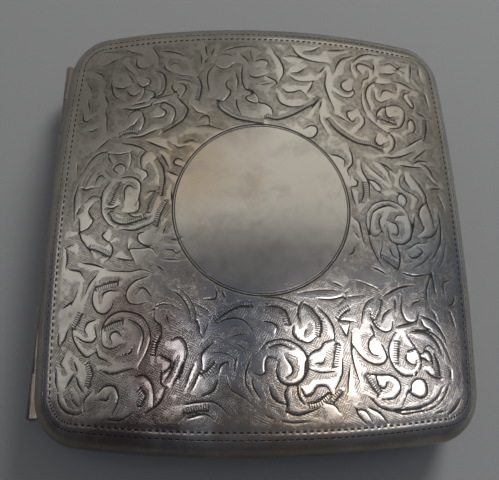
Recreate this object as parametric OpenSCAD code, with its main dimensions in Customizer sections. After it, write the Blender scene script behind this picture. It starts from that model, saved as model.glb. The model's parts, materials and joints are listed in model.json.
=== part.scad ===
// A pocket cigarette case of silver: two shallow shells on a full-length knuckle hinge, bent to sit
// against the body, with a thumb piece on a leaf spring in the free side. Millimetres. X runs from the
// hinge on the left to the catch on the right, Y up the case and Z out of the engraved lid. The origin
// is on the table, under the middle of the case, which lies closed on its back.

/* [Case] */
// Width across the middle, from side to side
case_w = 82; // [79:0.5:86]
// Height across the middle, from end to end
case_h = 82; // [79:0.5:86]
// How far each side bows out between its corners
side_bow = 1.2; // [0.8:0.1:1.8]
// How far each end bows out between its corners
end_bow = 1.1; // [0.6:0.1:1.8]
// Radius of the corners seen from the front
corner_r = 9.4; // [8:0.2:11]
// Radius of the bend that fits the case to the body
bend_r = 185; // [165:5:260]

/* [Shells] */
// Height of the lid above the seam, at its edge
lid_h = 5.5; // [5.1:0.1:6.5]
// Depth of the base below the seam
base_h = 5.5; // [5.2:0.1:6.5]
// Width of the rolled edge, seen from the front
roll_w = 4; // [3.6:0.1:5]
// How much the middle of the lid stands above its edge
lid_crown = 1.2; // [0.4:0.1:2]
// Thickness of the sheet
wall = 0.7; // [0.6:0.05:0.8]
// Gap between the closed shells
seam_gap = 0.2; // [0.15:0.05:0.3]

/* [Engraved ring] */
// Radius of the ring round the plain disc
ring_r = 15; // [12:0.5:18]
// How far the ring's centre lies above the middle of the lid
ring_up = 1; // [0:0.5:2]
// Width of the ring's groove
ring_cut_w = 0.5; // [0.4:0.1:0.8]
// Depth of the ring's groove
ring_cut = 0.15; // [0.1:0.05:0.25]

/* [Bezels] */
// Thickness of the base's bezel where it stands proud
bezel_t = 0.4; // [0.3:0.05:0.5]
// How far the base's bezel stands above the seam
bezel_proud = 1; // [0.7:0.1:1.2]
// How far the base's bezel reaches down inside
bezel_depth = 2.2; // [2:0.1:2.4]
// Clearance between the base's bezel and the lid's wall
bezel_clearance = 0.3; // [0.25:0.05:0.35]
// Height of the lid's bezel
lid_bezel_h = 1.5; // [1.2:0.1:1.8]
// Thickness of the lid's bezel
lid_bezel_t = 0.5; // [0.4:0.05:0.6]

/* [Hinge] */
// Distance from each end of the hinge barrel to the end of the case
hinge_end = 5.5; // [4.5:0.1:7]
// Outer radius of the knuckles
knuckle_r = 1.15; // [1.05:0.05:1.25]
// How far the hinge's axis lies inside the side of the case
axis_inset = 0.45; // [0.3:0.05:0.5]
// Radius of the hinge wire
pin_r = 0.5; // [0.4:0.05:0.6]
// Clearance between the wire and the knuckles' bores
pin_clearance = 0.05; // [0.03:0.01:0.08]
// Gap between neighbouring knuckles
knuckle_gap = 0.1; // [0.08:0.02:0.2]
// Clearance of the groove that each knuckle turns in
groove_clearance = 0.12; // [0.1:0.01:0.16]
// Radius of the caps on the wire's ends
cap_r = 0.95; // [0.85:0.05:1.05]
// Height of each cap
cap_h = 0.5; // [0.4:0.05:0.6]

/* [Catch] */
// Distance from the middle of the thumb piece to the upper end of the case
push_end = 15.6; // [15.4:0.2:19]
// Length of the thumb piece
push_len = 9.4; // [8:0.2:10]
// How far the thumb piece stands out of the side
push_out = 1.1; // [0.8:0.1:1.4]
// Height of the thumb piece
push_h = 2; // [1.8:0.1:2.2]
// Distance of the thumb piece's top below the seam
push_drop = 0.3; // [0.25:0.05:0.4]
// Clearance round the thumb piece in its slot
push_clearance = 0.2; // [0.15:0.05:0.3]
// Gap between the leaf spring's foot and the strap's clip
foot_gap = 0.3; // [0.2:0.1:1.5]
// Thickness of the leaf spring
leaf_t = 0.35; // [0.25:0.05:0.45]
// Gap between the leaf spring and the bezel
leaf_gap = 0.1; // [0.06:0.02:0.16]
// Width of the hooked nib
nib_w = 4; // [3:0.2:5]
// Height of the nib above the seam
nib_h = 1.3; // [1.1:0.05:1.4]
// Gap between the nib and the lid's catch plate
bite_gap = 0.1; // [0.08:0.02:0.16]

/* [Strap] */
// Width of the elastic strap
strap_w = 10; // [8:0.5:14]
// Thickness of the elastic strap
strap_t = 0.6; // [0.4:0.1:0.8]
// Clearance between the strap and what lies round it
strap_clearance = 0.25; // [0.2:0.05:0.3]
// Thickness of the strap clips
clip_t = 0.25; // [0.2:0.05:0.3]
// Depth of the strap clips, from the bezel inwards
clip_depth = 1.6; // [1.4:0.1:2]

/* [Hidden] */
silver = [0.72, 0.7, 0.67];
gilt = [0.8, 0.62, 0.3];
steel = [0.5, 0.5, 0.52];
elastic = [0.16, 0.13, 0.1];
$fn = 48;

half_w = case_w / 2;
half_h = case_h / 2;
hinge_len = case_h - 2 * hinge_end;
push_y = half_h - push_end;
// The corner arcs' centres, and the angles at which the bowed sides and ends run into them
corner_x = half_w - side_bow - corner_r;
corner_y = half_h - end_bow - corner_r;
side_turn = atan(2 * side_bow / corner_y);
end_turn = atan(2 * end_bow / corner_x);

// Height of the bent seam over its own middle
function bend(x) = sqrt(bend_r * bend_r - x * x) - bend_r;

// Steps of the mesh: along half a side, round a corner, up a rolled edge, over the face and the plain disc,
// round each part of a corner beside the hinge, and along the side below the thumb piece
side_steps = 3;
corner_steps = 8;
roll_steps = 7;
face_steps = 4;
disc_steps = 2;
hinge_corner_steps = 4;
long_side_steps = 5;
// Width of the near-upright wall at a step in the rim
rim_step = 0.04;

// A station is a place on the outline: a point one corner radius inside it, the outward direction there,
// and what the rim does there.
plain = 0;
at_hinge = 1;
at_slot = 2;
function unit(v) = v / norm(v);
function side_station(side, t, rim) =
    [[side * (half_w - corner_r - side_bow * t * t), corner_y * t],
     unit([side * corner_y, 2 * side_bow * t]), rim];
function end_station(end, t, rim) =
    [[corner_x * t, end * (half_h - corner_r - end_bow * t * t)],
     unit([2 * end_bow * t, end * corner_x]), rim];
function corner_station(side, end, angle, rim) =
    [[side * corner_x, end * corner_y], [side * cos(angle), end * sin(angle)], rim];
function inset_point(station, inset) = station[0] + (corner_r - inset) * station[1];

// Where the side's parameter stands for a height on the outline
function side_t(y) = y / (corner_y + 2 * corner_r * side_bow / corner_y);
slot_low = side_t(push_y - push_len / 2 - push_clearance);
slot_high = side_t(push_y + push_len / 2 + push_clearance);
slot_step = side_t(rim_step);
// Where on the left corners the hinge's cut ends
hinge_end_gap = 0.15;
hinge_turn = asin((hinge_len / 2 + hinge_end_gap - corner_y) / corner_r);
hinge_step = rim_step / corner_r * 180 / PI;
corner_end = 90 - end_turn;
function spread(from, to, count) = [for (k = [1:count]) from + (to - from) * k / count];

// The outline, anticlockwise from just above the slot for the thumb piece
stations = [
    side_station(1, slot_high + slot_step, plain),
    for (t = spread(slot_high + slot_step, 1, 1)) side_station(1, t, plain),
    for (a = spread(side_turn, corner_end, corner_steps)) corner_station(1, 1, a, plain),
    for (t = spread(1, -1, 2 * side_steps)) end_station(1, t, plain),
    for (a = spread(corner_end, hinge_turn + hinge_step, hinge_corner_steps))
        corner_station(-1, 1, a, plain),
    corner_station(-1, 1, hinge_turn, at_hinge),
    for (a = spread(hinge_turn, side_turn, hinge_corner_steps)) corner_station(-1, 1, a, at_hinge),
    for (t = spread(1, -1, 2 * side_steps)) side_station(-1, t, at_hinge),
    for (a = spread(side_turn, hinge_turn, hinge_corner_steps)) corner_station(-1, -1, a, at_hinge),
    corner_station(-1, -1, hinge_turn + hinge_step, plain),
    for (a = spread(hinge_turn + hinge_step, corner_end, hinge_corner_steps))
        corner_station(-1, -1, a, plain),
    for (t = spread(-1, 1, 2 * side_steps)) end_station(-1, t, plain),
    for (a = spread(corner_end, side_turn, corner_steps)) corner_station(1, -1, a, plain),
    for (t = spread(-1, slot_low - slot_step, long_side_steps)) side_station(1, t, plain),
    for (t = [slot_low, (slot_low + slot_high) / 2, slot_high]) side_station(1, t, at_slot)];

// The base's outer profile just inside its widest point, and so its lowest level below the seam's middle
lowest = min([for (k = [0:roll_steps]) let (a = 90 * k / roll_steps)
    bend(half_w - roll_w * (1 - cos(a))) - base_h * sin(a)]);
seam_z = -lowest;
function seam(x) = seam_z + bend(x);

// The hinge: its axis, and the levels at which the two rims stop above and below the barrel
axis_x = -(half_w - axis_inset);
axis_z = seam(half_w);
groove_r = knuckle_r + groove_clearance;
slot_floor = push_drop + push_h + push_clearance;

// Height of a shell's rim over the table. up is 1 for the lid and -1 for the base.
function rim_z(station, up) = station[2] == at_hinge ? axis_z + up * groove_r
    : seam(inset_point(station, 0)[0]) + (station[2] == at_slot && up < 0 ? -slot_floor : up * seam_gap / 2);

// The rolled edge is a quarter ellipse from the seam up to the face: how far in it lies at a height
function roll_inset(height, width, rise) = width * (1 - sqrt(1 - pow(min(height / rise, 1), 2)));
function crown(x, y, amount) = amount * (1 - pow(x / half_w, 2)) * (1 - pow(y / half_h, 2));

// One ring of a shell's skin, at an angle up its rolled edge, counted from the rim
function roll_ring(up, rise, width, sheet, amount, k) = [for (s = stations)
    let (x0 = inset_point(s, 0)[0], rim_h = up * (rim_z(s, up) - seam(x0)))
    let (start = asin(rim_h / rise), a = start + (90 - start) * k / roll_steps)
    let (p = inset_point(s, sheet + width * (1 - cos(a))))
    [p[0], p[1], k == 0 ? rim_z(s, up) : seam(p[0]) + up * (rise * sin(a) + crown(p[0], p[1], amount))]];

// One ring of a shell's face, between its flat edge and the round ring in its middle
function face_point(p, up, rise, amount, cut) =
    [p[0], p[1], seam(p[0]) + up * (rise + crown(p[0], p[1], amount) - cut)];
function ring_point(s, r) = let (p = inset_point(s, roll_w)) [0, ring_up] + r * unit(p - [0, ring_up]);
function face_ring(up, rise, amount, t) = [for (s = stations)
    face_point(inset_point(s, roll_w) * (1 - t) + ring_point(s, ring_r + ring_cut_w / 2) * t,
        up, rise, amount, 0)];
function round_ring(up, rise, amount, r, cut) =
    [for (s = stations) face_point(ring_point(s, r), up, rise, amount, cut)];

// All rings of one skin of a shell, from its rim to the middle of its face
function skin(up, rise, width, sheet, amount, cut) = concat(
    [for (k = [0:roll_steps]) roll_ring(up, rise, width, sheet, amount, k)],
    [for (k = [1:face_steps]) face_ring(up, rise, amount, k / face_steps)],
    cut > 0 ? [round_ring(up, rise, amount, ring_r, cut),
        round_ring(up, rise, amount, ring_r - ring_cut_w / 2, 0)] : [],
    [for (k = [1:disc_steps]) round_ring(up, rise, amount, ring_r * (1 - k / (disc_steps + 1)), 0)]);
function backwards(list) = [for (k = [len(list) - 1:-1:0]) list[k]];
function flat(lists) = [for (list = lists, item = list) item];

// A closed skin through rings of equal count, with a middle point at each end
module closed_skin(rings, first_middle, last_middle) {
    n = len(rings[0]);
    m = len(rings);
    points = concat(flat(rings), [first_middle, last_middle]);
    walls = [for (k = [0:m - 2], i = [0:n - 1]) let (j = (i + 1) % n)
        each [[k * n + i, k * n + j, (k + 1) * n + j], [k * n + i, (k + 1) * n + j, (k + 1) * n + i]]];
    first_cap = [for (i = [0:n - 1]) [n * m, (i + 1) % n, i]];
    last_cap = [for (i = [0:n - 1]) [n * m + 1, (m - 1) * n + i, (m - 1) * n + (i + 1) % n]];
    polyhedron(points, concat(walls, first_cap, last_cap), convexity = 6);
}

// A bar through sections of equal count. An open bar is capped by fans from its corner number fan.
module lofted_bar(sections, closed, fan) {
    n = len(sections[0]);
    m = len(sections);
    walls = [for (k = [0:closed ? m - 1 : m - 2], i = [0:n - 1]) let (j = (i + 1) % n, l = (k + 1) % m)
        each [[k * n + i, l * n + i, l * n + j], [k * n + i, l * n + j, k * n + j]]];
    caps = closed ? [] : [for (i = [1:n - 2]) let (p = (fan + i) % n, q = (fan + i + 1) % n)
        each [[fan, p, q], [(m - 1) * n + fan, (m - 1) * n + q, (m - 1) * n + p]]];
    polyhedron(flat(sections), concat(walls, caps), convexity = 6);
}

module shell(up, rise, amount, cut) {
    outside = skin(up, rise, roll_w, 0, amount, cut);
    inside = skin(up, rise - wall, roll_w - wall, wall, amount, 0);
    rings = concat(backwards(outside), inside);
    outside_middle = face_point([0, ring_up], up, rise, amount, 0);
    inside_middle = face_point([0, ring_up], up, rise - wall, amount, 0);
    if (up > 0) closed_skin(rings, outside_middle, inside_middle);
    else closed_skin(backwards(rings), inside_middle, outside_middle);
}
module lid_shell() { color(silver) shell(1, lid_h, lid_crown, ring_cut); }
module base_shell() { color(silver) shell(-1, base_h, 0, 0); }

// A point inside the mouth of a shell, at an inset from the outline and a height from the seam
function mouth_point(s, inset, height) = let (p = inset_point(s, inset)) [p[0], p[1], seam(p[0]) + height];
function inner_inset(height, rise) = wall + roll_inset(height, roll_w - wall, rise - wall);

// The base's bezel: soldered inside the wall and standing proud of it, but cut down along the hinge and
// left out at the slot for the thumb piece
bezel_inset = wall + bezel_clearance;
bezel_inner = bezel_inset + bezel_t;
bezel_cut_h = 1;
// What is left of the bezel's thickness where the rolled edge runs in under it, halfway down and at its foot
bezel_left_middle = 0.08;
bezel_left_foot = 0.05;
function bezel_wall_inset(height, left) = min(inner_inset(-height, base_h), bezel_inner - left);
function proud_bezel_section(s) = let (shelf = -seam_gap / 2, low = -bezel_depth, middle = (shelf + low) / 2)
    [mouth_point(s, bezel_inset, bezel_proud),
     mouth_point(s, bezel_inner, bezel_proud),
     mouth_point(s, bezel_inner, low),
     mouth_point(s, bezel_wall_inset(low, bezel_left_foot), low),
     mouth_point(s, bezel_wall_inset(middle, bezel_left_middle), middle),
     mouth_point(s, bezel_wall_inset(shelf, 0), shelf),
     mouth_point(s, bezel_inset, shelf)];
function level_point(s, inset, z) = let (p = inset_point(s, inset)) [p[0], p[1], z];
// Where the inside of the wall is at a level, found in two steps, and the bezel's outer face there, behind
// a film of solder
bezel_film = 0.01;
function wall_inset(s, guess, z) = inner_inset(seam(inset_point(s, guess)[0]) - z, base_h);
function level_inset(s, z, left) =
    min(wall_inset(s, wall_inset(s, wall, z), z) + bezel_film, bezel_inner - left);
function cut_bezel_section(s) = let (top = rim_z(s, -1), low = top - bezel_cut_h, middle = (top + low) / 2)
    [level_point(s, bezel_inner - bezel_t / 2, top),
     level_point(s, bezel_inner, top),
     level_point(s, bezel_inner, low),
     level_point(s, level_inset(s, low, bezel_left_foot), low),
     level_point(s, level_inset(s, middle, bezel_left_middle), middle),
     level_point(s, level_inset(s, top, 0), top),
     level_point(s, bezel_inset, top)];
function base_bezel_section(s) = s[2] == at_hinge ? cut_bezel_section(s) : proud_bezel_section(s);
module base_bezel() {
    color(gilt) lofted_bar([for (s = stations) if (s[2] != at_slot) base_bezel_section(s)], false, 2);
}

// The lid's bezel: a strip just above where the base's bezel ends
lid_bezel_low = bezel_proud + 0.5;
lid_bezel_high = lid_bezel_low + lid_bezel_h;
function lid_bezel_section(s) =
    [mouth_point(s, inner_inset(lid_bezel_low, lid_h), lid_bezel_low),
     mouth_point(s, inner_inset(lid_bezel_high, lid_h), lid_bezel_high),
     mouth_point(s, inner_inset(lid_bezel_high, lid_h) + lid_bezel_t, lid_bezel_high),
     mouth_point(s, inner_inset(lid_bezel_low, lid_h) + lid_bezel_t, lid_bezel_low)];
module lid_bezel() {
    color(gilt) lofted_bar([for (s = stations) lid_bezel_section(s)], true, 0);
}

// Puts a shape that stands on the XY plane along the hinge's axis, from y
module on_axis(y) { translate([axis_x, y, axis_z]) rotate([-90, 0, 0]) children(); }

// The joint strips fill the rims' cuts beside the barrel, and the knuckles are soldered into their grooves.
// A strip stops just short of where the rim steps up behind it, and its ends reach in a little there.
strip_reach = 0.1;
strip_end_gap = 0.05;
module joint_strip(up) {
    inner = [for (s = stations) if (s[2] == at_hinge) inset_point(s, wall)];
    half_len = corner_y + (corner_r - wall) * sin(hinge_turn) - strip_end_gap;
    along = [for (p = inner) if (abs(p[1]) < half_len) p];
    first_x = along[0][0] + strip_reach;
    last_x = along[len(along) - 1][0] + strip_reach;
    plan = concat([[axis_x, half_len]], [[axis_x, -half_len], [last_x, -half_len]], backwards(along),
        [[first_x, half_len]]);
    height = groove_r - seam_gap / 2;
    difference() {
        translate([0, 0, up > 0 ? axis_z + seam_gap / 2 : axis_z - groove_r])
            linear_extrude(height) polygon(plan);
        on_axis(-half_len - 1) cylinder(h = 2 * half_len + 2, r = groove_r);
    }
}
module lid_joint_strip() { color(silver) joint_strip(1); }
module base_joint_strip() { color(silver) joint_strip(-1); }

// A knuckle is a tube with a fillet of solder that joins it to its own strip
lid_knuckles = 4;
base_knuckles = 5;
knuckle_count = lid_knuckles + base_knuckles;
knuckle_len = (hinge_len - (knuckle_count - 1) * knuckle_gap) / knuckle_count;
bore_r = pin_r + pin_clearance;
fillet_from = 0.4;
module knuckle(place, up) {
    y = -hinge_len / 2 + place * (knuckle_len + knuckle_gap);
    difference() {
        union() {
            on_axis(y) cylinder(h = knuckle_len, r = knuckle_r);
            intersection() {
                on_axis(y) cylinder(h = knuckle_len, r = groove_r);
                translate([axis_x + fillet_from, y, up > 0 ? axis_z + fillet_from : axis_z - groove_r])
                    cube([groove_r, knuckle_len, groove_r - fillet_from]);
            }
        }
        on_axis(y - 1) cylinder(h = knuckle_len + 2, r = bore_r);
    }
}
module lid_knuckle(k) { color(silver) knuckle(2 * k - 1, 1); }
module base_knuckle(k) { color(silver) knuckle(2 * k - 2, -1); }

module hinge_pin() { color(steel) on_axis(-hinge_len / 2) cylinder(h = hinge_len, r = pin_r); }
// A cap is a low dome that holds the wire in
module pin_cap() {
    dome_r = (cap_r * cap_r + cap_h * cap_h) / (2 * cap_h);
    intersection() {
        cylinder(h = cap_h, r = cap_r);
        translate([0, 0, cap_h - dome_r]) sphere(r = dome_r);
    }
}
module pin_cap_upper() { color(silver) on_axis(hinge_len / 2) pin_cap(); }
module pin_cap_lower() {
    color(silver) translate([axis_x, -hinge_len / 2, axis_z]) rotate([90, 0, 0]) pin_cap();
}

// The catch is drawn in the leaf spring's own frame: its origin at the spring's fixed end, on the outer
// face, with Y along the leaf and X out through the wall. Its foot stands next to the strap's clip.
clip_margin = 0.6;
foot_len = 2.4;
leaf_start = strap_w / 2 + clip_margin + foot_gap + foot_len;
leaf_inset = bezel_inner + leaf_gap;
leaf_low = inset_point(side_station(1, side_t(leaf_start), plain), leaf_inset);
leaf_high = inset_point(side_station(1, side_t(push_y + push_len / 2), plain), leaf_inset);
leaf_len = norm(leaf_high - leaf_low);
leaf_turn = atan2(leaf_low[0] - leaf_high[0], leaf_high[1] - leaf_low[1]);
module in_leaf_frame() { translate([leaf_low[0], leaf_low[1], 0]) rotate([0, 0, leaf_turn]) children(); }
function to_leaf_frame(p) = let (d = p - leaf_low)
    [d[0] * cos(leaf_turn) + d[1] * sin(leaf_turn), d[1] * cos(leaf_turn) - d[0] * sin(leaf_turn)];

push_station = side_station(1, side_t(push_y), plain);
push_middle = to_leaf_frame(inset_point(push_station, 0));
push_seam = seam(inset_point(push_station, 0)[0]);
push_top = push_seam - push_drop;
// The leaf runs from just below the seam to a little below the thumb piece
leaf_drop = 0.1;
leaf_below = 0.3;
leaf_top = push_seam - leaf_drop;
leaf_bottom = push_top - push_h - leaf_below;
leaf_h = leaf_top - leaf_bottom;
module catch_spring() {
    color(steel) in_leaf_frame() translate([-leaf_t, 0, leaf_bottom]) cube([leaf_t, leaf_len, leaf_h]);
}

// The thumb piece: a crescent seen from the front, with its outer edges eased
push_edge = 0.35;
module push_plan(ease) {
    bulge_r = (push_len * push_len / 4 + push_out * push_out) / (2 * push_out);
    intersection() {
        translate([push_middle[0] + push_out - bulge_r, push_middle[1]]) circle(r = bulge_r - ease, $fn = 96);
        translate([0, push_middle[1] - push_len / 2 + ease / 2])
            square([push_middle[0] + push_out, push_len - ease]);
    }
}
module push_piece() {
    color(silver) in_leaf_frame() translate([0, 0, push_top - push_h]) hull() {
        linear_extrude(push_h) push_plan(push_edge);
        translate([0, 0, push_edge]) linear_extrude(push_h - 2 * push_edge) push_plan(0);
    }
}

// The nib stands on the leaf's upper edge, and its beak faces the catch plate inside the lid's wall.
// The beak's three levels are depths below the nib's top, and the plate's face is between two heights.
beak_root = 0.7;
beak_low = 0.45;
beak_high = 0.25;
plate_inset = inner_inset(nib_h, lid_h);
plate_t = 0.5;
plate_face_low = 0.2;
plate_face_high = 0.75;
plate_face = to_leaf_frame(inset_point(push_station, plate_inset + plate_t))[0];
module catch_nib() {
    beak = plate_face - bite_gap;
    top = push_seam + nib_h;
    outline = [[-leaf_t, leaf_top], [0, leaf_top], [0, top - beak_root], [beak, top - beak_low],
        [beak, top - beak_high], [0, top], [-leaf_t, top]];
    color(steel) in_leaf_frame() translate([0, push_middle[1] + nib_w / 2, 0]) rotate([90, 0, 0])
        linear_extrude(nib_w) polygon(outline);
}
plate_margin = 0.6;
module lid_catch() {
    low = push_seam + seam_gap;
    outer = to_leaf_frame(inset_point(push_station, plate_inset))[0];
    outline = [[outer, low], [plate_face, low + plate_face_low], [plate_face, low + plate_face_high],
        [outer, push_seam + nib_h]];
    color(gilt) in_leaf_frame() translate([0, push_middle[1] + nib_w / 2 + plate_margin, 0])
        rotate([90, 0, 0]) linear_extrude(nib_w + 2 * plate_margin) polygon(outline);
}

// The foot: a block behind the leaf's fixed end, with a cheek that holds the end against the bezel
foot_cheek = 0.5;
foot_grip = 1.6;
foot_play = 0.08;
// How much lower than the leaf the foot is, and the film of solder between it and the bowed bezel
foot_lower = 0.4;
foot_bow = 0.02;
foot_solder = 0.1;
module spring_foot() {
    back = leaf_gap - foot_solder;
    front = -leaf_t - foot_play;
    plan = [[back, -foot_play], [back - foot_bow, -foot_len], [front - foot_cheek, -foot_len],
        [front - foot_cheek, foot_grip], [front, foot_grip], [front, -foot_play]];
    color(gilt) in_leaf_frame() translate([0, 0, leaf_bottom]) linear_extrude(leaf_h - foot_lower)
        polygon(plan);
}

// The elastic strap crosses the base over its bowed floor, from one side clip to the other
floor_h = base_h - wall;
clip_drop = 1.75;
clip_middle = seam(half_w) - clip_drop;
clip_x = half_w - bezel_inner;
strap_end = clip_x - clip_depth / 2;
// How far the strap runs straight out of a clip, and where it leaves the floor, inside the rolled edge
strap_lead = 0.1;
strap_lift = 1.6;
floor_steps = 6;
module base_strap() {
    reach = clip_x - clip_depth - strap_lead;
    touch = half_w - roll_w - strap_lift;
    over = [for (k = [-floor_steps:floor_steps]) let (x = touch * k / floor_steps)
        [x, seam(x) - floor_h + strap_clearance + strap_t / 2]];
    path = concat([[-strap_end, clip_middle], [-reach, clip_middle]], over,
        [[reach, clip_middle], [strap_end, clip_middle]]);
    above = [for (p = path) p + [0, strap_t / 2]];
    below = [for (p = path) p - [0, strap_t / 2]];
    color(elastic) translate([0, strap_w / 2, 0]) rotate([90, 0, 0]) linear_extrude(strap_w)
        polygon(concat(below, backwards(above)));
}

// A clip is a small channel, soldered to the bezel, that holds one end of the strap
module strap_clip(side) {
    slot_h = strap_t + 2 * strap_clearance;
    height = slot_h + 2 * clip_t;
    width = strap_w + 2 * clip_margin;
    solder = 0.1;
    translate([side * clip_x, 0, clip_middle]) mirror([side > 0 ? 1 : 0, 0, 0]) difference() {
        translate([solder, -width / 2, -height / 2]) cube([clip_depth, width, height]);
        translate([solder + clip_t, -width / 2 - 1, -slot_h / 2]) cube([clip_depth, width + 2, slot_h]);
    }
}
module strap_clip_left() { color(gilt) strap_clip(-1); }
module strap_clip_right() { color(gilt) strap_clip(1); }

lid_shell();
base_shell();
lid_bezel();
base_bezel();
lid_joint_strip();
base_joint_strip();
lid_knuckle(1);  // lid_knuckle_1
lid_knuckle(2);  // lid_knuckle_2
lid_knuckle(3);  // lid_knuckle_3
lid_knuckle(4);  // lid_knuckle_4
base_knuckle(1);  // base_knuckle_1
base_knuckle(2);  // base_knuckle_2
base_knuckle(3);  // base_knuckle_3
base_knuckle(4);  // base_knuckle_4
base_knuckle(5);  // base_knuckle_5
hinge_pin();
pin_cap_upper();
pin_cap_lower();
catch_spring();
spring_foot();
push_piece();
catch_nib();
lid_catch();
base_strap();
strap_clip_left();
strap_clip_right();
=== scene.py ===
"""The looks of a pocket cigarette case of engraved silver, in millimetres until a mesh is made."""
import json
import math

import bmesh
import bpy
import numpy as np
from mathutils import Matrix, Vector


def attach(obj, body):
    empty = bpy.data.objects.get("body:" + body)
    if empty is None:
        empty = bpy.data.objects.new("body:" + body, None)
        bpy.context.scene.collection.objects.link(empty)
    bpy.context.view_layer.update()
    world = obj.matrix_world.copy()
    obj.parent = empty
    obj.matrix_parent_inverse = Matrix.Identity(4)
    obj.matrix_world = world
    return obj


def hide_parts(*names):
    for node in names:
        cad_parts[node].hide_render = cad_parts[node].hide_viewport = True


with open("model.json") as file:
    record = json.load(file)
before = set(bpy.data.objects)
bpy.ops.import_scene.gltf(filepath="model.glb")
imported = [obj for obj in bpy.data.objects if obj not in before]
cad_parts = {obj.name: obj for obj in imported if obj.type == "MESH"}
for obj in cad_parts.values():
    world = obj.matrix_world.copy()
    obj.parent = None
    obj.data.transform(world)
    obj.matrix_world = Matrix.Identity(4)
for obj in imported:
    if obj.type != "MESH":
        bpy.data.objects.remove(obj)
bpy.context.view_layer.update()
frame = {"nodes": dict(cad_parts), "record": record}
MM = 0.001

# Sizes, as the part's source has them
HALF_W, HALF_H = 41.0, 41.0
SIDE_BOW, END_BOW, CORNER_R, BEND_R = 1.2, 1.1, 9.4, 185.0
RISE, ROLL_W, LID_CROWN, WALL, SEAM_GAP = 5.5, 4.0, 1.2, 0.7, 0.2
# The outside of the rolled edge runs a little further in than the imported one. The fine grid takes in its top.
SOFT_ROLL_W, GRID_INSET = 4.6, 2.7
BEZEL_T, BEZEL_PROUD, BEZEL_DEPTH, BEZEL_INSET, BEZEL_CUT_H = 0.4, 1.0, 2.2, WALL + 0.3, 1.0
LID_BEZEL_H, LID_BEZEL_T, LID_BEZEL_LOW = 1.5, 0.5, 1.5
HINGE_END, KNUCKLE_R, AXIS_INSET, GROOVE_CLEARANCE, KNUCKLE_GAP = 5.5, 1.15, 0.45, 0.12, 0.1
BORE_R, HINGE_END_GAP, KNUCKLES = 0.55, 0.15, 9
PUSH_END, PUSH_LEN, PUSH_OUT, PUSH_H = 15.6, 9.4, 1.1, 2.0
PUSH_DROP, PUSH_CLEARANCE, PUSH_EASE = 0.3, 0.2, 0.35
STRAP_W, STRAP_T, STRAP_CLEARANCE = 10.0, 0.6, 0.25
CLIP_DROP, CLIP_DEPTH, CLIP_MARGIN, STRAP_LEAD, STRAP_LIFT = 1.75, 1.6, 0.6, 0.1, 1.6
FOOT_GAP, FOOT_LEN, LEAF_GAP = 0.3, 2.4, 0.1

HINGE_LEN = 2 * HALF_H - 2 * HINGE_END
PUSH_Y = HALF_H - PUSH_END
# Where the rim is cut away: the ends of the hinge's groove, and half the length of the thumb piece's slot
GROOVE_END, SLOT_HALF = HINGE_LEN / 2 + HINGE_END_GAP, PUSH_LEN / 2 + PUSH_CLEARANCE
CORNER_X = HALF_W - SIDE_BOW - CORNER_R
CORNER_Y = HALF_H - END_BOW - CORNER_R
SIDE_TURN = math.atan(2 * SIDE_BOW / CORNER_Y)
END_TURN = math.atan(2 * END_BOW / CORNER_X)
PLAIN, AT_HINGE, AT_SLOT = 0, 1, 2
# The middle of an eased corner lies this share of its radius inside both sides
EASE_SHARE = 0.3


# The outline and the seam

def bend(x):
    return np.sqrt(BEND_R ** 2 - x ** 2) - BEND_R


def lowest_level(steps=7):
    """How far the base's rolled edge reaches below the middle of the seam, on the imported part's steps."""
    angle = np.radians(90 * np.arange(steps + 1) / steps)
    return np.min(bend(HALF_W - ROLL_W * (1 - np.cos(angle))) - RISE * np.sin(angle))


SEAM_Z = -lowest_level()
AXIS_X = -(HALF_W - AXIS_INSET)


def seam(x):
    return SEAM_Z + bend(x)


AXIS_Z = float(seam(HALF_W))
GROOVE_R = KNUCKLE_R + GROOVE_CLEARANCE


def crown(xy, amount):
    return amount * (1 - (xy[:, 0] / HALF_W) ** 2) * (1 - (xy[:, 1] / HALF_H) ** 2)


def unit(v):
    return v / np.linalg.norm(v, axis=-1, keepdims=True)


def lengths_along(line):
    return np.concatenate([[0], np.cumsum(np.linalg.norm(np.diff(line, axis=0), axis=1))])


def side_run(side, t):
    """Places along a side: a point one corner radius inside the outline, and the outward direction."""
    base = np.stack([side * (HALF_W - CORNER_R - SIDE_BOW * t * t), CORNER_Y * t], -1)
    return base, unit(np.stack([side * CORNER_Y + 0 * t, 2 * SIDE_BOW * t], -1))


def end_run(end, t):
    base = np.stack([CORNER_X * t, end * (HALF_H - CORNER_R - END_BOW * t * t)], -1)
    return base, unit(np.stack([2 * END_BOW * t, end * CORNER_X + 0 * t], -1))


def corner_run(side, end, angle):
    base = np.tile([side * CORNER_X, end * CORNER_Y], (len(angle), 1))
    return base, np.stack([side * np.cos(angle), end * np.sin(angle)], -1)


def quarter_runs(dense=400):
    """The outline in four runs that meet in the middles of the corners: right, top, left and bottom."""
    half, low, high = math.pi / 4, SIDE_TURN, math.pi / 2 - END_TURN
    along, runs = np.linspace(-1, 1, dense), []

    def turn(a, b):
        return np.linspace(a, b, dense // 2)
    for s in (1, -1):
        runs.append([corner_run(s, -s, turn(half, low)), side_run(s, s * along),
                     corner_run(s, s, turn(low, half))])
        runs.append([corner_run(s, s, turn(half, high)), end_run(s, -s * along),
                     corner_run(-s, s, turn(high, half))])
    return runs


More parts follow.
